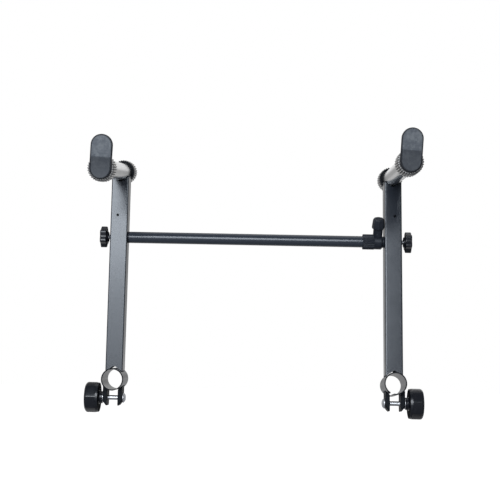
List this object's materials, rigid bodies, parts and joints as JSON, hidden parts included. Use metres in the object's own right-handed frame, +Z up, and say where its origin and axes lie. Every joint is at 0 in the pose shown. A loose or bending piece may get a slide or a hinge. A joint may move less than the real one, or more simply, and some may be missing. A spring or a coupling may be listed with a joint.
{
  "type": "keyboard stand second tier",
  "caption": "Second tier for a keyboard stand: two clamp-on side frames with rubber-gripped arms, joined by a telescoping cross bar with locking knobs.",
  "frame": {"origin": "midway between the two clamps, on the axis of the left clamp's bore", "axes": "+X along the cross bar from the left frame to the right one, +Y to the back of the keyboard, +Z up"},
  "size_m": [0.5782, 0.3204, 0.4612],
  "materials": {
    "frame_coat": "satin",
    "bar_coat": "satin",
    "cap_plastic": "matte",
    "knob_plastic": "gloss",
    "rubber": "matte",
    "zinc": "zinc plated",
    "brass": "turned",
    "nylon": "matte"
  },
  "bodies": {
    "left_frame": {"left_upright": "frame_coat", "left_arm": "frame_coat", "left_stop_cap": "cap_plastic", "left_back_plug": "cap_plastic", "left_front_grip": "rubber", "left_rear_grip": "rubber", "left_clamp_sleeve": "frame_coat", "left_clamp_inner_lug": "frame_coat", "left_clamp_outer_lug": "frame_coat", "left_clamp_bolt": "zinc", "left_clamp_washer": "zinc"},
    "left_clamp_handle": {"left_clamp_knob": "knob_plastic", "left_clamp_knob_nut": "brass"},
    "left_star_handle": {"left_star_knob": "knob_plastic", "left_star_stud": "zinc"},
    "right_frame": {"right_upright": "frame_coat", "right_arm": "frame_coat", "right_stop_cap": "cap_plastic", "right_back_plug": "cap_plastic", "right_front_grip": "rubber", "right_rear_grip": "rubber", "right_clamp_sleeve": "frame_coat", "right_clamp_inner_lug": "frame_coat", "right_clamp_outer_lug": "frame_coat", "right_clamp_bolt": "zinc", "right_clamp_washer": "zinc"},
    "right_clamp_handle": {"right_clamp_knob": "knob_plastic", "right_clamp_knob_nut": "brass"},
    "right_star_handle": {"right_star_knob": "knob_plastic", "right_star_stud": "zinc"},
    "bar": {"bar_outer_tube": "bar_coat", "bar_left_plug": "knob_plastic", "collar": "knob_plastic", "collar_pad": "nylon"},
    "collar_handle": {"collar_knob": "knob_plastic", "collar_screw": "zinc"},
    "slider": {"bar_inner_tube": "bar_coat", "bar_right_plug": "knob_plastic", "bar_tail_bush": "nylon"}
  },
  "joints": [
    {"name": "bar_turn", "type": "hinge", "parent": "left_frame", "child": "bar", "pos_m": [-0.24, 0, 0.248], "axis": [1, 0, 0], "continuous": true},
    {"name": "bar_slide", "type": "slide", "parent": "bar", "child": "slider", "axis": [1, 0, 0], "range_m": [0, 0.25]},
    {"name": "right_frame_turn", "type": "hinge", "parent": "slider", "child": "right_frame", "pos_m": [0.24, 0, 0.248], "axis": [1, 0, 0], "continuous": true},
    {"name": "left_clamp_knob_spin", "type": "hinge", "parent": "left_frame", "child": "left_clamp_handle", "pos_m": [-0.26025, 0, -0.032], "axis": [-1, 0, 0], "continuous": true},
    {"name": "right_clamp_knob_spin", "type": "hinge", "parent": "right_frame", "child": "right_clamp_handle", "pos_m": [0.26025, -0.02684, -0.03071], "axis": [1, 0, 0], "continuous": true},
    {"name": "left_star_knob_spin", "type": "hinge", "parent": "left_frame", "child": "left_star_handle", "pos_m": [-0.24, 0, 0.248], "axis": [-1, 0, 0], "continuous": true},
    {"name": "right_star_knob_spin", "type": "hinge", "parent": "right_frame", "child": "right_star_handle", "pos_m": [0.24, 0, 0.248], "axis": [1, 0, 0], "continuous": true},
    {"name": "collar_knob_spin", "type": "hinge", "parent": "bar", "child": "collar_handle", "pos_m": [0.2133, -0.0095, 0.26445], "axis": [0, -0.5, 0.866], "continuous": true}
  ]
}
